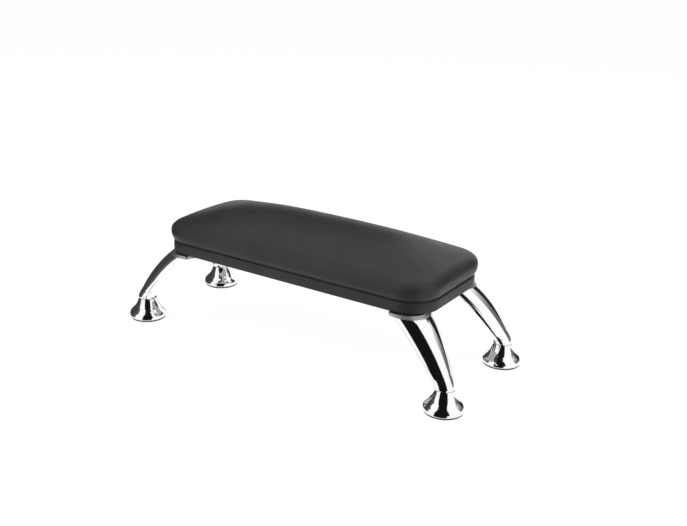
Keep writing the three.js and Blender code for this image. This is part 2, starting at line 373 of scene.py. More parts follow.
def makeRubber():
    material, nodes, links, principled = newMaterial("rubber")
    marks = useGroup(nodes, marksGroup, Smears=60.0, Specks=2200.0)
    colour = mixColour(nodes, links, marks.outputs["Mask"], rubberLook["dark"], rubberLook["worn"])
    links.new(colour, principled.inputs["Base Color"])
    matt = remap(nodes, links, marks.outputs["Mask"], 0, 1, *rubberLook["roughness"])
    links.new(matt, principled.inputs["Roughness"])
    bumpFrom(nodes, links, marks.outputs["Mask"], 0.3, 0.00005, principled)
    return material


foamLook = {"pore": (0.42, 0.36, 0.2, 1), "skin": (0.74, 0.68, 0.48, 1), "roughness": 0.95}


def makeFoam():
    material, nodes, links, principled = newMaterial("foam")
    pores = useGroup(nodes, grainGroup, Cells=900.0, Drift=30.0)
    colour = mixColour(nodes, links, pores.outputs["Height"], foamLook["pore"], foamLook["skin"])
    links.new(colour, principled.inputs["Base Color"])
    principled.inputs["Roughness"].default_value = foamLook["roughness"]
    bumpFrom(nodes, links, pores.outputs["Height"], 0.8, 0.0004, principled)
    return material


plywoodLook = {"light": (0.62, 0.44, 0.26, 1), "fibre": (0.42, 0.27, 0.14, 1), "glue": (0.22, 0.13, 0.07, 1),
               "roughness": 0.7}


def makePlywood():
    # Birch plies as bands up the height, with long grain along X
    material, nodes, links, principled = newMaterial("plywood")
    place = nodes.new("ShaderNodeTexCoord").outputs["Object"]
    stretch = addNode(nodes, "ShaderNodeMapping", in_Scale=(14.0, 160.0, 160.0))
    links.new(place, stretch.inputs["Vector"])
    fibre = addNode(nodes, "ShaderNodeTexNoise", in_Scale=1.0, in_Detail=5.0)
    links.new(stretch.outputs[0], fibre.inputs["Vector"])
    plies = addNode(nodes, "ShaderNodeTexWave", wave_type="BANDS", bands_direction="Z", in_Scale=90.0,
                    in_Distortion=0.6)
    links.new(place, plies.inputs["Vector"])
    wood = mixColour(nodes, links, fibre.outputs["Fac"], plywoodLook["light"], plywoodLook["fibre"])
    glued = mixColour(nodes, links, remap(nodes, links, plies.outputs["Fac"], 0.7, 0.9, 0.0, 0.6), wood,
                      plywoodLook["glue"])
    links.new(glued, principled.inputs["Base Color"])
    principled.inputs["Roughness"].default_value = plywoodLook["roughness"]
    bumpFrom(nodes, links, fibre.outputs["Fac"], 0.3, 0.0002, principled)
    return material


clothLook = {"dark": (0.36, 0.36, 0.355, 1), "light": (0.64, 0.64, 0.635, 1), "roughness": (0.7, 0.95)}


def makeLiningCloth():
    # Non-woven cloth: a random fibre mat pressed in a fine dot grid
    material, nodes, links, principled = newMaterial("lining")
    place = nodes.new("ShaderNodeTexCoord").outputs["Object"]
    dots = addNode(nodes, "ShaderNodeTexVoronoi", in_Scale=700.0, in_Randomness=0.15)
    mat = addNode(nodes, "ShaderNodeTexNoise", in_Scale=1500.0, in_Detail=4.0)
    for texture in (dots, mat):
        links.new(place, texture.inputs["Vector"])
    pressed = remap(nodes, links, dots.outputs["Distance"], 0.1, 0.45, 0.0, 1.0)
    height = mathNode(nodes, links, "MULTIPLY", pressed, mat.outputs["Fac"])
    colour = mixColour(nodes, links, height, clothLook["dark"], clothLook["light"])
    links.new(colour, principled.inputs["Base Color"])
    matt = remap(nodes, links, pressed, 0, 1, *clothLook["roughness"])
    links.new(matt, principled.inputs["Roughness"])
    bumpFrom(nodes, links, height, 0.6, 0.0001, principled)
    return material


looks = {"leatherette": makeLeatherette(), "chrome": makeChrome(), "zinc": makeZinc(), "rubber": makeRubber(),
         "foam": makeFoam(), "plywood": makePlywood(), "lining": makeLiningCloth()}
print("materials made:", ", ".join(looks))


# The pad's outline, seen from above
outline = {"corner": 34.8, "alongCells": 100, "acrossCells": 38}


def padOutline(cellsAlong, cellsAcross):
    # Points round a rectangle with round corners, evenly spaced along each of the four stretches between
    # the middles of its corner arcs, with their outward normals. Anticlockwise from the front left corner.
    radius = outline["corner"]
    halfX, halfY = padLength / 2 - radius, padWidth / 2 - radius
    eighth = radius * math.pi / 4
    stretches = ((2 * halfX, cellsAlong), (2 * halfY, cellsAcross)) * 2
    centres = np.array([[-halfX, -halfY], [halfX, -halfY], [halfX, halfY], [-halfX, halfY]])
    points, normals = [], []
    for side, (straight, cells) in enumerate(stretches):
        walk = np.linspace(0, straight + 2 * eighth, cells, endpoint=False)
        first, last = centres[side], centres[(side + 1) % 4]
        facing = (side - 1) * math.pi / 2  # the front faces -Y, the right end +X
        turned = facing + (np.minimum(walk, eighth) - eighth) / radius \
            + np.maximum(walk - eighth - straight, 0) / radius
        normal = np.stack([np.cos(turned), np.sin(turned)], axis=1)
        share = np.clip((walk - eighth) / straight, 0, 1)[:, None]
        points.append(first + (last - first) * share + radius * normal)
        normals.append(normal)
    return np.vstack(points), np.vstack(normals)


def gridFill(ring, cellsAlong, cellsAcross, firstNumber, nextNumber):
    # Coons patch inside a ring: the sum of the two rulings between facing sides, less the corners'
    # bilinear part. Gives the inner points and the grid of vertex numbers, the ring's own round its edge.
    front, right = ring[:cellsAlong + 1], ring[cellsAlong:cellsAlong + cellsAcross + 1]
    rest = np.vstack([ring[cellsAlong + cellsAcross:], ring[:1]])
    rear, left = rest[:cellsAlong + 1][::-1], rest[cellsAlong:][::-1]
    s = np.linspace(0, 1, cellsAlong + 1)[None, :, None]
    t = np.linspace(0, 1, cellsAcross + 1)[:, None, None]
    flat = (1 - t) * front[None] + t * rear[None] + (1 - s) * left[:, None] + s * right[:, None] \
        - ((1 - s) * (1 - t) * front[0] + s * (1 - t) * front[-1] + (1 - s) * t * rear[0] + s * t * rear[-1])
    index = np.zeros(flat.shape[:2], dtype=int)
    numbers = firstNumber + np.arange(len(ring))
    index[0, :] = numbers[:cellsAlong + 1]
    index[:, -1] = numbers[cellsAlong:cellsAlong + cellsAcross + 1]
    index[-1, ::-1] = numbers[cellsAlong + cellsAcross:2 * cellsAlong + cellsAcross + 1]
    index[::-1, 0] = np.append(numbers[2 * cellsAlong + cellsAcross:], numbers[0])
    inner = flat[1:-1, 1:-1].reshape(-1, 2)
    index[1:-1, 1:-1] = nextNumber + np.arange(len(inner)).reshape(cellsAcross - 1, cellsAlong - 1)
    return inner, index


# The cushion: crowned top, edge rolled out over a drawn-in seam
cushion = {"rollTop": 118.5, "widest": 110.4, "rollIn": 10.2, "seamIn": 4.6, "seamTilt": 22,
           "tuckIn": 2.2, "tuckUp": 0.06, "alongPower": 3.25, "acrossPower": 2.0, "underSteps": 8,
           "rollSteps": 10, "slack": 0.7, "pressure": 4.0, "cap": 1.6, "foamDepth": 1.9, "foamUp": 1.6,
           "fill": 0.95}
crownHeight = crownTopZ - cushion["rollTop"]


def crownAt(x, y):
    # Height of the crown: full in the middle, dropping by a power of the distance along and across
    along = 1 - np.abs(2 * x / padLength) ** cushion["alongPower"]
    across = 1 - np.abs(2 * y / padWidth) ** cushion["acrossPower"]
    return crownHeight * np.clip(along, 0, 1) * np.clip(across, 0, 1)


def cushionSurface(depth, tucked, lowest):
    # Rings up the cushion, at a depth inside its surface: most of a quarter ellipse from the seam out to the
    # widest line, a whole one in to the top, and a grid over the top. The crown's height is added from the
    # widest line up.
    base, normal = padOutline(outline["alongCells"], outline["acrossCells"])
    count = len(base)
    first = math.radians(cushion["seamTilt"])
    under = np.linspace(first, math.pi / 2, cushion["underSteps"] + 1)
    roll = np.linspace(0, math.pi / 2, cushion["rollSteps"] + 1)[1:]
    insets = np.concatenate([cushion["seamIn"] * (1 - np.sin(under)) / (1 - math.sin(first)),
                             cushion["rollIn"] * (1 - np.cos(roll))]) + depth
    heights = np.concatenate([
        cushion["widest"] - (cushion["widest"] - lowest) * np.cos(under) / math.cos(first),
        cushion["widest"] + (cushion["rollTop"] - cushion["widest"] - depth) * np.sin(roll)])
    crowned = np.concatenate([np.zeros(len(under)), np.ones(len(roll))])
    if tucked:  # the leatherette's sewn edge turns in behind the seam
        insets = np.concatenate([[insets[0] + cushion["tuckIn"], insets[0] + cushion["tuckIn"] / 3], insets])
        heights = np.concatenate([[seamZ + cushion["tuckUp"], seamZ + cushion["tuckUp"] * 0.8], heights])
        crowned = np.concatenate([[0, 0], crowned])
    flat = base[None] - insets[:, None, None] * normal[None]
    z = heights[:, None] + crowned[:, None] * crownAt(flat[..., 0], flat[..., 1])
    rings = np.concatenate([flat, z[..., None]], axis=-1)
    index = np.arange(len(insets) * count).reshape(len(insets), count)
    faces = [quadsBetween(index[k], index[k + 1]) for k in range(len(insets) - 1)]
    inner, grid = gridFill(flat[-1], outline["alongCells"], outline["acrossCells"], index[-1, 0], index.size)
    top = np.column_stack([inner, cushion["rollTop"] - depth + crownAt(inner[:, 0], inner[:, 1])])
    return np.vstack([rings.reshape(-1, 3), top]), np.vstack(faces + [gridQuads(grid)]), index


clothSettings = {"quality": 6, "mass": 0.4, "tension_stiffness": 60, "compression_stiffness": 60,
                 "shear_stiffness": 30, "bending_stiffness": 8, "use_pressure": True,
                 "uniform_pressure_force": cushion["pressure"], "vertex_group_mass": "seam"}
clothFrames = 20


def inflated(piece, pinned):
    # Blown up from slack by a cloth simulation, its seam held, and then no point further than the cap
    start = np.empty(len(piece.data.vertices) * 3)
    piece.data.vertices.foreach_get("co", start)
    held = piece.vertex_groups.new(name="seam")
    held.add(pinned.tolist(), 1.0, "REPLACE")
    cloth = piece.modifiers.new("cloth", "CLOTH")
    for key, value in clothSettings.items():
        setattr(cloth.settings, key, value)
    cloth.settings.effector_weights.gravity = 0
    cloth.point_cache.frame_start, cloth.point_cache.frame_end = 1, clothFrames
    for number in range(1, clothFrames + 1):
        scene.frame_set(number)
    blown = np.empty(len(start))
    piece.evaluated_get(bpy.context.evaluated_depsgraph_get()).data.vertices.foreach_get("co", blown)
    piece.modifiers.clear()
    piece.vertex_groups.clear()
    scene.frame_set(1)
    move = (blown - start).reshape(-1, 3)
    length = np.linalg.norm(move, axis=1, keepdims=True)
    cap = cushion["cap"] * mm
    move *= np.tanh(length / cap) * cap / np.maximum(length, 1e-9)
    piece.data.vertices.foreach_set("co", start + move.ravel())
    piece.data.update()
    print("cushion inflated: up to", round(float(length.max()) / mm, 2), "mm before the cap")


def makeCover():
    points, faces, rings = cushionSurface(cushion["slack"], True, seamZ)
    seam = rings[:3].ravel()
    points[seam, :2] = cushionSurface(0, True, seamZ)[0][seam, :2]  # the seam isn't slack
    cover = meshPiece("cushion_cover", points, faces)
    inflated(cover, seam)
    smooth = cover.modifiers.new("smooth", "SUBSURF")
    smooth.levels = smooth.render_levels = 1
    wall = cover.modifiers.new("wall", "SOLIDIFY")
    wall.thickness = leather * mm
    wall.offset = -1
    applied(cover)
    cover.data.shade_smooth()
    finishPiece(cover, looks["leatherette"], ["top_cover"])


def makeFoamCore():
    bottomZ = seamZ + cushion["foamUp"]
    points, faces, rings = cushionSurface(cushion["foamDepth"], False, bottomZ)
    inner, grid = gridFill(points[rings[0], :2], outline["alongCells"], outline["acrossCells"],
                           rings[0, 0], len(points))
    points = np.vstack([points, np.column_stack([inner, np.full(len(inner), bottomZ)])])
    core = meshPiece("foam_block", points, np.vstack([faces, gridQuads(grid)[:, ::-1]]))
    finishPiece(core, looks["foam"], ["foam_core"])


makeCover()
makeFoamCore()
print("cushion made")


# The band round the board, folded under it
band = {"standIn": 3.5, "foot": 1.4, "lip": 1.8, "turnUnder": 12.0, "bulge": 0.25, "sewnIn": 4.5,
        "skived": 0.22, "join": 0.35, "joinWide": 1.0, "pleat": 0.4, "pleats": 7, "cells": (420, 160)}


def makeBand():
    # A closed profile of [inset, height], carried round the outline: up the face with a slight bulge, over
    # the lip to the sewn edge, thinned where it lies on the board, down inside and back along the fold
    rise = np.linspace(0, 1, 9)[1:-1]
    low, high = padBottomZ + band["foot"], boardTopZ - band["lip"]
    face = np.stack([band["standIn"] - band["bulge"] * np.sin(math.pi * rise),
                     low + (high - low) * rise], axis=1)
    foot = arcPoints((band["standIn"] + band["foot"], low), band["foot"], -90, -180, 6)
    lip = arcPoints((band["standIn"] + band["lip"], high), band["lip"], 180, 90, 6)
    inside = band["standIn"] + leather
    fold = band["standIn"] + band["turnUnder"]
    sewn, under = band["standIn"] + band["sewnIn"], seamZ - band["skived"]
    inner = [[band["standIn"] + band["lip"] + 0.3, seamZ - 0.04], [sewn, seamZ],
             [sewn + 0.2, (seamZ + under) / 2], [sewn, under],
             [inside + band["skived"], under], [inside, boardTopZ - leather],
             [inside, padBottomZ + leather * 2],
             [inside + leather, padBottomZ + leather], [fold, padBottomZ + leather],
             [fold + 0.2, padBottomZ + leather / 2], [fold, padBottomZ]]
    back = [[band["standIn"] + band["foot"] + 5, padBottomZ]]
    profile = np.vstack([foot, face, lip, inner, back])
    base, normal = padOutline(*band["cells"])
    insets, heights = profile[:, :1], np.repeat(profile[:, 1:], len(base), axis=1)
    # The strip's two ends meet in a shallow groove in the middle of the rear
    join = band["join"] * np.exp(-(base[:, 0] / band["joinWide"]) ** 2) * (base[:, 1] > 0)
    outside = insets < inside
    insets = insets + join * outside
    # Gathers: rounded folds across the turned-in leatherette, only round the corners
    turn = np.abs(np.degrees(np.arctan2(normal[:, 1], normal[:, 0]))) % 90 / 90
    fluted = np.abs(np.sin(math.pi * band["pleats"] * turn)) ** 0.6
    gathered = fluted * np.sin(math.pi * turn) > 0
    reach = np.clip((profile[:, :1] - band["standIn"] - band["foot"]) / 3, 0, 1) \
        * (profile[:, 1:] < padBottomZ + 0.1)
    heights = heights + reach * band["pleat"] * (1 - fluted) * gathered
    flat = base[None] - insets[:, :, None] * normal[None]
    points = np.concatenate([flat, heights[..., None]], axis=-1)
    index = np.arange(len(profile) * len(base)).reshape(len(profile), len(base))
    faces = [quadsBetween(index[k], index[(k + 1) % len(profile)]) for k in range(len(profile))]
    piece = meshPiece("board_band", points.reshape(-1, 3), np.vstack(faces))
    finishPiece(piece, looks["leatherette"], ["side_band"])


makeBand()


# The legs
legs = {"yaw": math.radians(18.1), "top": 87.5, "ankle": 24.1,
        "handles": ((-0.9, 25), (-41, 80.6), (-59.1, 86.1)),
        "outer": (6.3, 14.2, 11.1), "inner": (6.3, 1.8, 10.1), "half": (6.2, 16.5, 22.6), "nose": 8.0,
        "levelShare": 0.35, "flare": 3.4, "neck": 9.0, "flange": 19.6, "flangeThick": 3.2, "flangeAt": -55.5,
        "edge": 0.5, "sides": 96, "steps": 110, "noseSteps": 18, "flangeSides": 144}


def through(values, t):  # runs smoothly through three values, at the start, middle and end
    a, b, c = values
    return a * (1 - t) * (1 - 2 * t) + 4 * b * t * (1 - t) + c * t * (2 * t - 1)


def hornSurface():
    # Ovals carried up a Bezier from the ankle to the root, deeper outside the line than inside it. The
    # lowest is level, and they tip until they stand square to the line. A round nose closes the root.
    t = np.linspace(0, 1, legs["steps"] + 1)
    p0, p1, p2, p3 = (np.array(p, dtype=float) for p in ((0, legs["ankle"]), *legs["handles"]))
    k = t[:, None]
    line = (1 - k) ** 3 * p0 + 3 * k * (1 - k) ** 2 * p1 + 3 * k ** 2 * (1 - k) * p2 + k ** 3 * p3
    along = 3 * (1 - k) ** 2 * (p1 - p0) + 6 * k * (1 - k) * (p2 - p1) + 3 * k ** 2 * (p3 - p2)
    along /= np.linalg.norm(along, axis=1, keepdims=True)
    tip = np.clip(t / legs["levelShare"], 0, 1)
    tilt = np.arctan2(-along[:, 0], along[:, 1]) * tip * tip * (3 - 2 * tip)
    rise = np.clip((line[:, 1] - legs["ankle"]) / legs["neck"], 0, 1)
    flare = legs["flare"] * (1 - rise) ** 1.5
    outer, inner, half = (through(legs[key], t) + flare for key in ("outer", "inner", "half"))
    turn = np.linspace(0, math.pi / 2, legs["noseSteps"] + 1)[1:-1]
    line = np.vstack([line, line[-1] + along[-1] * legs["nose"] * np.sin(turn)[:, None]])
    tilt = np.concatenate([tilt, np.full(len(turn), math.atan2(-along[-1, 0], along[-1, 1]))])
    outer, inner, half = (np.concatenate([v, v[-1] * np.cos(turn)]) for v in (outer, inner, half))
    angle = np.linspace(0, 2 * math.pi, legs["sides"], endpoint=False)
    out = np.cos(angle) * np.where(np.cos(angle) > 0, outer[:, None], inner[:, None])
    points = np.stack([line[:, :1] + np.cos(tilt)[:, None] * out, half[:, None] * np.sin(angle),
                       line[:, 1:] + np.sin(tilt)[:, None] * out], axis=-1)
    count = len(points)
    index = np.arange(points.size // 3).reshape(count, -1)
    faces = np.vstack([quadsBetween(index[i], index[i + 1]) for i in range(count - 1)]).tolist()
    noseTip = line[len(t) - 1] + along[-1] * legs["nose"]
    points = np.vstack([points.reshape(-1, 3), [0, 0, legs["ankle"]], [noseTip[0], 0, noseTip[1]]])
    base, end = len(points) - 2, len(points) - 1
    faces += [[base, b, a] for a, b in zip(index[0].tolist(), np.roll(index[0], -1).tolist())]
    faces += [[end, a, b] for a, b in zip(index[-1].tolist(), np.roll(index[-1], -1).tolist())]
    return points, faces


def discAt(radius, low, high, x, sides, edge=0.0):
    profile = [[0, low], *(arcPoints((radius - edge, low + edge), edge, -90, 0) if edge else [[radius, low]]),
               [radius, high], [0, high]]
    points, faces = lathe(profile, sides)
    return meshPiece("disc", points + np.array([x, 0, 0]), faces)


def makeLegs():
    horn = meshPiece("horn", *hornSurface())
    cut(horn, discAt(legs["flange"], legs["top"] - legs["flangeThick"], legs["top"], legs["flangeAt"],
                     legs["flangeSides"], legs["edge"]), "UNION")
    cut(horn, discAt(60.0, legs["top"], legs["top"] + 30, legs["flangeAt"], 64))
    cut(horn, discAt(studs["leg"]["radius"] + clearance, studs["leg"]["low"] - clearance, legs["top"] + 1,
                     studs["leg"]["at"], 32))
    cut(horn, discAt(studs["foot"]["radius"] + clearance, legs["ankle"] - 1,
                     studs["foot"]["high"] + clearance, 0, 32))
    points = np.empty(len(horn.data.vertices) * 3)
    horn.data.vertices.foreach_get("co", points)
    points = points.reshape(-1, 3) / mm
    for corner in cornerSigns:
        mesh = horn.data.copy()
        mesh.vertices.foreach_set("co", (placed(points, corner) * mm).ravel())
        mesh.shade_smooth()
        mesh.set_sharp_from_angle(angle=sharpAngle)
        piece = bpy.data.objects.new("horn_leg_" + corner, mesh)
        scene.collection.objects.link(piece)
        finishPiece(piece, looks["chrome"], ["leg_" + corner])
    bpy.data.objects.remove(horn)


studs = {"leg": {"radius": 4.0, "low": 80.0, "high": 96.0, "pitch": 1.25, "at": -55.5},
         "foot": {"radius": 3.0, "low": 8.0, "high": 28.5, "pitch": 1.0, "at": 0.0}}


def threadedStud(radius, low, high, pitch, at):
    # A rod whose radius follows a rounded triangle wave of height and angle, fading out to plain ends
    sides = 24
    height = np.arange(low, high + 1e-6, pitch / 8)
    angle = np.linspace(0, 2 * math.pi, sides, endpoint=False)
    phase = height[:, None] / pitch - angle / (2 * math.pi)
    wave = np.abs((phase % 1) * 2 - 1)
    fade = np.clip(np.minimum(height - low, high - height) / pitch, 0, 1)[:, None]
    r = radius - 0.61 * pitch * (1 - wave * fade)
    rings = np.stack([at + r * np.cos(angle), r * np.sin(angle),
                      np.broadcast_to(height[:, None], r.shape)], axis=-1)
    index = np.arange(r.size).reshape(r.shape)
    faces = np.vstack([quadsBetween(index[k], index[k + 1]) for k in range(len(height) - 1)]).tolist()
    faces += [index[0, ::-1].tolist(), index[-1].tolist()]
    return rings.reshape(-1, 3), faces


def atCorners(name, points, faces, slot, look, node, angle=sharpAngle):
    # One piece at each corner, in the place of the CAD node there
    for corner in cornerSigns:
        piece = meshPiece(name + corner, placed(points, corner), faces)
        piece.data.set_sharp_from_angle(angle=angle)
        finishPiece(piece, looks[look], [node + corner])


def makeStuds():
    for kind, size in studs.items():
        atCorners(f"threaded_{kind}_stud_", *threadedStud(**size), "zinc_plate", "zinc", f"{kind}_stud_",
                  math.radians(35))


makeLegs()
makeStuds()
print("legs and studs made")


# Bell feet and their glides
bell = {"base": 2.3, "rim": ((20.7, 2.3), (21.0, 2.6), (21.2, 3.3)),
        "flank": ((21.2, 4.2), (20.4, 7.0), (17.4, 10.6), (14.3, 14.0), (12.1, 18.0), (11.0, 20.8),
                  (10.2, 23.4)),
        "shoulder": 0.3, "top": 23.8, "glide": 19.9, "glideEdge": 0.4, "glideTop": 4.0, "sides": 144,
        "glideSides": 96}


def makeBells():
    flank = splineThrough(bell["rim"] + bell["flank"], 64)
    edge = flank[-1]
    shoulder = arcPoints((edge[0] - bell["shoulder"], bell["top"] - bell["shoulder"]), bell["shoulder"],
                         0, 90, 5)
    pocket, pocketTop = bell["glide"] + clearance, bell["glideTop"] + clearance
    bore, boreEnd = studs["foot"]["radius"] + clearance, studs["foot"]["low"] - clearance
    profile = np.vstack([
        [[0, pocketTop], [pocket, pocketTop], [pocket, bell["base"] + 0.2],
         [pocket + 0.3, bell["base"]]],
        flank, shoulder, [[bore, bell["top"]], [bore, boreEnd], [0, boreEnd]]])
    atCorners("bell_", *lathe(profile, bell["sides"]), "chrome", "chrome", "bell_foot_")


def makeGlides():
    edge = bell["glideEdge"]
    profile = np.vstack([[[0, 0]], arcPoints((bell["glide"] - edge, edge), edge, -90, 0),
                         [[bell["glide"], bell["glideTop"]], [0, bell["glideTop"]]]])
    atCorners("glide_", *lathe(profile, bell["glideSides"]), "rubber", "rubber", "foot_glide_")


makeBells()
makeGlides()
print("feet made")


# The lining under the board, held by staples
lining = {"inset": 15.8, "thick": 0.9, "hole": 4.3, "pucker": 0.35, "puckerReach": 4.5,
          "puckerFade": 40, "cells": (200, 76)}
staple = {"inset": 18.2, "spacing": 27.0, "crown": 10.0, "wire": (0.9, 0.45), "bend": 0.9, "proud": 0.12,
          "leg": 1.6, "clear": 27.0}


def staplePlaces():
    # Evenly spaced round the lining's edge, none of them under a leg's flange: places and outward normals
    base, normal = padOutline(300, 110)
    path = base - staple["inset"] * normal
    step = np.linalg.norm(np.roll(path, -1, axis=0) - path, axis=1)
    walked = np.concatenate([[0], np.cumsum(step)[:-1]])
    count = round(step.sum() / staple["spacing"])
    pick = np.searchsorted(walked, (np.arange(count) + 0.5) * step.sum() / count) % len(path)
    path, normal = path[pick], normal[pick]
    flanges = np.array([placed([[legs["flangeAt"], 0, 0]], corner)[0, :2] for corner in cornerSigns])
    free = np.linalg.norm(path[:, None] - flanges[None], axis=2).min(axis=1) > staple["clear"]
    return path[free], normal[free]


def makeStaples():
    # Flat wire along a U: its crown lies along the edge, and quarter bends lead into two legs up into the
    # board
    half, turn = staple["crown"] / 2, staple["bend"]
    bend = arcPoints((half - turn, turn), turn, -90, 0, 5)  # [along, up], the crown's own line at 0
    side = np.vstack([bend, [half, turn + staple["leg"]]])
    line = np.vstack([side[::-1] * [-1, 1], side])
    ahead = np.gradient(line, axis=0)
    ahead /= np.linalg.norm(ahead, axis=1, keepdims=True)
    across = np.stack([-ahead[:, 1], ahead[:, 0]], axis=1)  # to the wire's upper side
    wide, thick = staple["wire"][0] / 2, staple["wire"][1] / 2
    section = np.array([[-wide, -thick], [wide, -thick], [wide, thick], [-wide, thick]])
    lineZ = padBottomZ - staple["proud"] + thick
    places, normals = staplePlaces()
    wire = line[:, None] + section[None, :, 1:] * across[:, None]
    along, up = wire[..., 0], lineZ + wire[..., 1]
    aside = np.broadcast_to(section[None, :, 0], along.shape)
    tangents = np.stack([-normals[:, 1], normals[:, 0]], axis=1)
    plan = places[:, None, None] + along[None, ..., None] * tangents[:, None, None] \
        + aside[None, ..., None] * normals[:, None, None]
    points = np.concatenate([plan, np.broadcast_to(up[None, ..., None], plan.shape[:3] + (1,))], axis=-1)
    index = np.arange(points.size // 3).reshape(points.shape[:3])
    faces = []
    for one in index:
        faces += [face for k in range(len(line) - 1) for face in quadsBetween(one[k], one[k + 1]).tolist()]
        faces += [one[0, ::-1].tolist(), one[-1].tolist()]
    piece = meshPiece("lining_staples", points.reshape(-1, 3), faces, smooth=False)
    finishPiece(piece, looks["zinc"])
    print("staples:", len(places))


def makeLining():
    # A flat sheet, puckered a little between its staples near the edge
    base, normal = padOutline(*lining["cells"])
    flat = base - lining["inset"] * normal
    count = len(flat)
    inner, grid = gridFill(flat, *lining["cells"], 0, count)
    plan = np.vstack([flat, inner])
    away = np.linalg.norm(plan[:, None] - staplePlaces()[0][None], axis=2)
    pressed = np.exp(-(away / lining["puckerReach"]) ** 2).max(axis=1)
    raised = lining["pucker"] * (1 - pressed) * np.exp(-away.min(axis=1) / lining["puckerFade"])
    low = np.column_stack([plan, padBottomZ + raised])
    high = np.column_stack([plan, np.full(len(plan), padBottomZ + lining["thick"])])
    wall = quadsBetween(np.arange(count), np.arange(count) + len(plan))
    piece = meshPiece("lining_cloth", np.vstack([low, high]),
                      np.vstack([gridQuads(grid)[:, ::-1], gridQuads(grid) + len(plan), wall]))
    for corner in cornerSigns:
        hole = discAt(lining["hole"], padBottomZ - 1, padBottomZ + 3, studs["leg"]["at"], 32)
        moved = np.empty(len(hole.data.vertices) * 3)
        hole.data.vertices.foreach_get("co", moved)
        hole.data.vertices.foreach_set("co", (placed(moved.reshape(-1, 3) / mm, corner) * mm).ravel())
        cut(piece, hole)
    piece.data.shade_smooth()
    piece.data.set_sharp_from_angle(angle=sharpAngle)
    finishPiece(piece, looks["lining"], ["bottom_lining"])
    size = np.array([padLength, padWidth]) - 2 * lining["inset"]
    corners = (4 - math.pi) * (outline["corner"] - lining["inset"]) ** 2
    holes = 4 * math.pi * lining["hole"] ** 2
    (size.prod() - corners - holes) * mm ** 2


makeLining()
makeStaples()

for node, look in [("base_board", "plywood")] + [("tee_nut_" + corner, "zinc") for corner in cornerSigns]:
    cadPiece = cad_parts[node]
    cadPiece.data.materials.clear()
    cadPiece.data.materials.append(looks[look])
print("lining made, board and tee nuts finished")


# The studio: a pale floor, a white background and soft lamps
studio = {"plain": 0.55, "floorSize": 14.0, "floorShadow": 0.14, "floorLevel": 0.62, "aimHeight": 0.08,
          "cardGrid": (41, 15), "openGrey": 250}


def seenRays(nodes, links):  # 1 where the camera, metal or glass looks, and 0 for light on the object
    path = nodes.new("ShaderNodeLightPath")
    seen = mathNode(nodes, links, "MAXIMUM", path.outputs["Is Camera Ray"], path.outputs["Is Glossy Ray"])
    return mathNode(nodes, links, "MAXIMUM", seen, path.outputs["Is Transmission Ray"])


def makeWorld():
    # Plain level for lighting, and white where the camera, metal or glass looks
    world = bpy.data.worlds.new("studio")
    scene.world = world
    world.use_nodes = True
    nodes, links = world.node_tree.nodes, world.node_tree.links
    nodes.clear()
    seen = seenRays(nodes, links)
    strength = remap(nodes, links, seen, 0, 1, studio["plain"], 1.0)
    sky = addNode(nodes, "ShaderNodeBackground", in_Color=(1, 1, 1, 1))
    links.new(strength, sky.inputs["Strength"])
    links.new(sky.outputs[0], nodes.new("ShaderNodeOutputWorld").inputs["Surface"])


def makeFloor():
    half = studio["floorSize"] / 2 / mm
    floor = meshPiece("floor", [[-half, -half, 0], [half, -half, 0], [half, half, 0], [-half, half, 0]],
                      [[0, 1, 2, 3]], smooth=False)
    material = bpy.data.materials.new("floor")
    material.use_nodes = True
    nodes, links = material.node_tree.nodes, material.node_tree.links
    nodes.clear()
    seen = seenRays(nodes, links)
    matte = addNode(nodes, "ShaderNodeBsdfDiffuse", in_Color=(0.9, 0.9, 0.9, 1))
    share = studio["floorShadow"]  # of the lit floor that the camera sees through the white
    level = (1 - share * studio["floorLevel"]) / (1 - share)  # open floor adds up to 1
    white = addNode(nodes, "ShaderNodeEmission", in_Color=(1, 1, 1, 1), in_Strength=level)
    blend = nodes.new("ShaderNodeMixShader")
    links.new(mathNode(nodes, links, "MULTIPLY", seen, 1 - share), blend.inputs[0])
    links.new(matte.outputs[0], blend.inputs[1])
    links.new(white.outputs[0], blend.inputs[2])
    links.new(blend.outputs[0], nodes.new("ShaderNodeOutputMaterial").inputs["Surface"])
    floor.data.materials.append(material)
    floor.visible_glossy = False


lamps = {  # azimuth and elevation in degrees, distance and size in metres, power in watts
    "front_left": {"azimuth": -35, "elevation": 35, "distance": 1.6, "size": 1.2, "power": 14},
    "front_right": {"azimuth": 100, "elevation": 35, "distance": 1.6, "size": 1.2, "power": 9},
    "overhead": {"azimuth": 0, "elevation": 88, "distance": 1.7, "size": 1.4, "power": 6},
}


def directionOf(azimuth, elevation):  # azimuth 0 is in front of the pad, 90 off its right end
    a, e = math.radians(azimuth), math.radians(elevation)
    return Vector((math.sin(a) * math.cos(e), -math.cos(a) * math.cos(e), math.sin(e)))


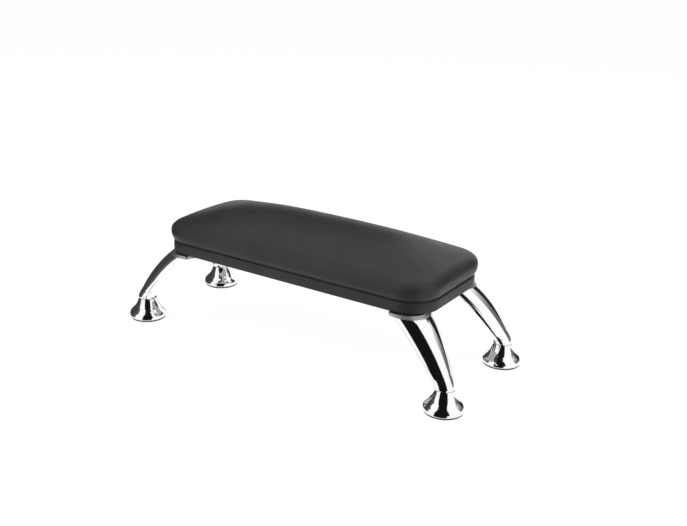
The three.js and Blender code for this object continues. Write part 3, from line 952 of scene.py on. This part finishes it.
# Dark cards, which only gloss sees. Each is a strip from one level edge to another, given as distance and
# height in metres, with its width and its shift to the right of its azimuth. Display greys at places from -1
# to 1 across it make its tone, and "open" gives the share of the open grey mixed in at places from its first
# edge to its last.
cards = {
    "operator": {"azimuth": 28, "edges": ((0.70, -0.05), (0.70, 1.15)), "shift": -0.01, "width": 0.94,
                 "greys": ((-1, 120), (-0.8, 20), (0.8, 20), (1, 120))},
    "operator_over": {"azimuth": 28, "edges": ((0.70, 1.15), (0.34, 1.15)), "shift": -0.05, "width": 0.80,
                      "greys": ((-1, 140), (-0.6, 25), (0.6, 25), (1, 140))},
    "operator_waist": {"azimuth": 28, "edges": ((0.70, -0.25), (0.70, -0.05)), "shift": -0.07, "width": 0.80,
                       "greys": ((-1, 115), (-0.8, 12), (0.8, 20), (1, 115))},
    "operator_legs": {"azimuth": 28, "edges": ((0.70, -1.00), (0.70, -0.25)), "shift": -0.145, "width": 0.95,
                      "greys": ((-1, 115), (-0.8, 18), (0.8, 18), (1, 115))},
    "left": {"azimuth": -90, "edges": ((0.80, -0.20), (0.80, 0.90)), "shift": 0.10, "width": 1.30,
             "greys": ((-1, 62), (0.2, 62), (1, 100))},
    "back": {"azimuth": 145, "edges": ((0.80, 0.09), (0.80, 0.90)), "shift": 0, "width": 0.48,
             "greys": ((-1, 130), (-0.4, 35), (0.4, 35), (1, 130))},
    "back_low": {"azimuth": 128, "edges": ((0.80, 0.04), (0.80, 0.60)), "shift": 0, "width": 0.52,
                 "greys": ((-1, 150), (-0.7, 105), (0.7, 105), (1, 150)),
                 "open": ((-1, 0), (-0.2, 0), (1, 1))},
    "back_left": {"azimuth": -140, "edges": ((0.90, 0.22), (0.90, 1.00)), "shift": 0, "width": 0.80,
                  "greys": ((-1, 130), (-0.7, 40), (0.7, 40), (1, 130))},
    "sill": {"azimuth": -38, "edges": ((0.90, -0.80), (0.90, -0.30)), "shift": 0, "width": 0.13,
             "greys": ((-1, 235), (0, 165), (1, 235))},
}


def makeCards():
    for name, values in cards.items():
        a = math.radians(values["azimuth"])
        outwards = np.array([math.sin(a), -math.cos(a), 0])
        across = np.array([math.cos(a), math.sin(a), 0])
        steps = (np.linspace(-1, 1, count) for count in studio["cardGrid"])
        u, v = (grid[..., None] for grid in np.meshgrid(*steps))
        (nearest, foot), (furthest, head) = values["edges"]
        points = across * (values["shift"] + values["width"] / 2 * u) \
            + outwards * np.interp(v, (-1, 1), (nearest, furthest)) \
            + np.array([0, 0, 1]) * np.interp(v, (-1, 1), (foot, head))
        index = np.arange(u.size).reshape(u.shape[:2])
        card = meshPiece("card_" + name, points.reshape(-1, 3) / mm, gridQuads(index), smooth=False)
        share = np.interp(v, *np.transpose(values.get("open", ((-1, 0), (1, 0)))))
        grey = (np.interp(u, *np.transpose(values["greys"])) * (1 - share) + studio["openGrey"] * share) / 255
        light = ((grey + 0.055) / 1.055) ** 2.4  # from display grey to light
        tone = card.data.attributes.new("tone", "FLOAT", "POINT")
        tone.data.foreach_set("value", light.ravel())
        material = bpy.data.materials.new("card_" + name)
        material.use_nodes = True
        nodes, links = material.node_tree.nodes, material.node_tree.links
        nodes.clear()
        read = addNode(nodes, "ShaderNodeAttribute", attribute_name="tone")
        glow = nodes.new("ShaderNodeEmission")
        links.new(read.outputs["Fac"], glow.inputs["Strength"])
        links.new(glow.outputs[0], nodes.new("ShaderNodeOutputMaterial").inputs["Surface"])
        card.data.materials.append(material)
        card.visible_camera = card.visible_diffuse = card.visible_shadow = card.visible_transmission = False


def makeLamps():
    target = Vector((0, 0, studio["aimHeight"]))
    for name, values in lamps.items():
        light = bpy.data.lights.new(name, "AREA")
        light.shape = "SQUARE"
        light.size = values["size"]
        light.energy = values["power"]
        lamp = bpy.data.objects.new(name, light)
        towards = directionOf(values["azimuth"], values["elevation"])
        lamp.location = target + towards * values["distance"]
        lamp.rotation_euler = towards.to_track_quat("Z", "Y").to_euler()
        lamp.visible_glossy = False
        lamp.visible_camera = False
        scene.collection.objects.link(lamp)


view = {"azimuth": 32.85, "elevation": 20.13, "roll": 1.53, "place": (0.5678, -0.8296, 0.4584), "lens": 51.51}


def makeCamera():
    data = bpy.data.cameras.new("camera")
    data.sensor_width = 36
    data.sensor_fit = "HORIZONTAL"
    data.lens = view["lens"]
    data.clip_start, data.clip_end = 0.01, 50
    camera = bpy.data.objects.new("camera", data)
    back = directionOf(view["azimuth"], view["elevation"])
    right = (-back).cross(Vector((0, 0, 1))).normalized()
    up = right.cross(-back)
    c, s = math.cos(math.radians(view["roll"])), math.sin(math.radians(view["roll"]))
    right, up = c * right + s * up, c * up - s * right
    turn = Matrix((right, up, back)).transposed().to_4x4()
    camera.matrix_world = Matrix.Translation(Vector(view["place"])) @ turn
    scene.collection.objects.link(camera)
    scene.camera = camera


scene.view_settings.view_transform = "Standard"
makeWorld()
makeFloor()
makeLamps()
makeCards()
makeCamera()
print("studio made")
